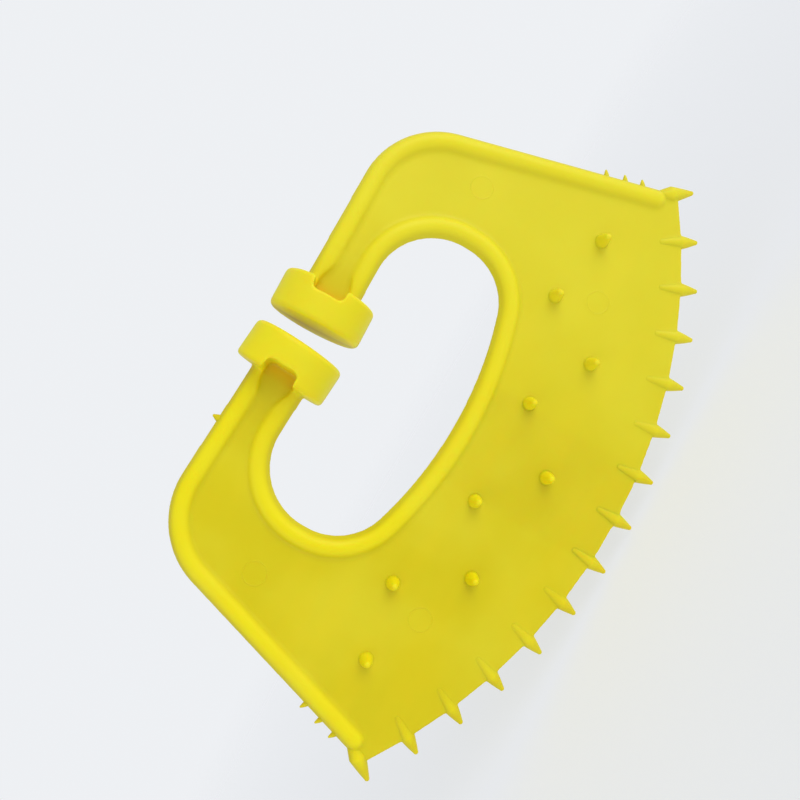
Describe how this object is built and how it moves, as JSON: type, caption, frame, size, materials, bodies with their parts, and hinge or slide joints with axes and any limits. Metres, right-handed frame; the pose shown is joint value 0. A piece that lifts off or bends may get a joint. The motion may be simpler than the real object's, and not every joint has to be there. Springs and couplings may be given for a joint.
{
  "type": "calf weaning nose clip",
  "caption": "Flat trapezoid nose clip for weaning calves: beaded plate with a nose hole, spiked lower edge, pegged face and two flexing arms ending in facing nose pads.",
  "frame": {"origin": "middle of the gap between the two nose pads, on the plate's middle plane", "axes": "+X along the two arms, towards the clip's right side as seen from the front; -Y the way the pegged front face looks; +Z from the spiked edge up to the arms, as it hangs from the nose"},
  "size_m": [0.1332, 0.0188, 0.0843],
  "materials": {
    "yellow_plastic": "satin, slightly translucent moulded plastic"
  },
  "bodies": {
    "plate": {"edge_spike_01": "yellow_plastic", "edge_spike_02": "yellow_plastic", "edge_spike_03": "yellow_plastic", "edge_spike_04": "yellow_plastic", "edge_spike_05": "yellow_plastic", "edge_spike_06": "yellow_plastic", "edge_spike_07": "yellow_plastic", "edge_spike_08": "yellow_plastic", "edge_spike_09": "yellow_plastic", "edge_spike_10": "yellow_plastic", "edge_spike_11": "yellow_plastic", "edge_spike_12": "yellow_plastic", "edge_spike_13": "yellow_plastic", "edge_spike_14": "yellow_plastic", "edge_spike_15": "yellow_plastic", "face_peg_01": "yellow_plastic", "face_peg_02": "yellow_plastic", "face_peg_03": "yellow_plastic", "face_peg_04": "yellow_plastic", "face_peg_05": "yellow_plastic", "face_peg_06": "yellow_plastic", "face_peg_07": "yellow_plastic", "face_peg_08": "yellow_plastic", "face_peg_09": "yellow_plastic", "left_rim_bead": "yellow_plastic", "left_side_spike_1": "yellow_plastic", "left_side_spike_2": "yellow_plastic", "left_side_spike_3": "yellow_plastic", "nose_hole_bead": "yellow_plastic", "right_rim_bead": "yellow_plastic", "right_side_spike_1": "yellow_plastic", "right_side_spike_2": "yellow_plastic", "right_side_spike_3": "yellow_plastic", "web_plate": "yellow_plastic"},
    "left_arm": {"left_arm_web": "yellow_plastic", "left_arm_outer_bead": "yellow_plastic", "left_arm_inner_bead": "yellow_plastic", "left_nose_pad": "yellow_plastic", "gate_nub": "yellow_plastic"},
    "right_arm": {"right_arm_web": "yellow_plastic", "right_arm_outer_bead": "yellow_plastic", "right_arm_inner_bead": "yellow_plastic", "right_nose_pad": "yellow_plastic"}
  },
  "joints": [
    {"name": "left_arm_flex", "type": "hinge", "parent": "plate", "child": "left_arm", "pos_m": [-0.0245, 0, 0], "axis": [0, 0, 1], "range_deg": [-25, 25], "stiffness_Nm_per_rad": 0.5},
    {"name": "right_arm_flex", "type": "hinge", "parent": "plate", "child": "right_arm", "pos_m": [0.0245, 0, 0], "axis": [0, 0, 1], "range_deg": [-25, 25], "stiffness_Nm_per_rad": 0.5}
  ]
}
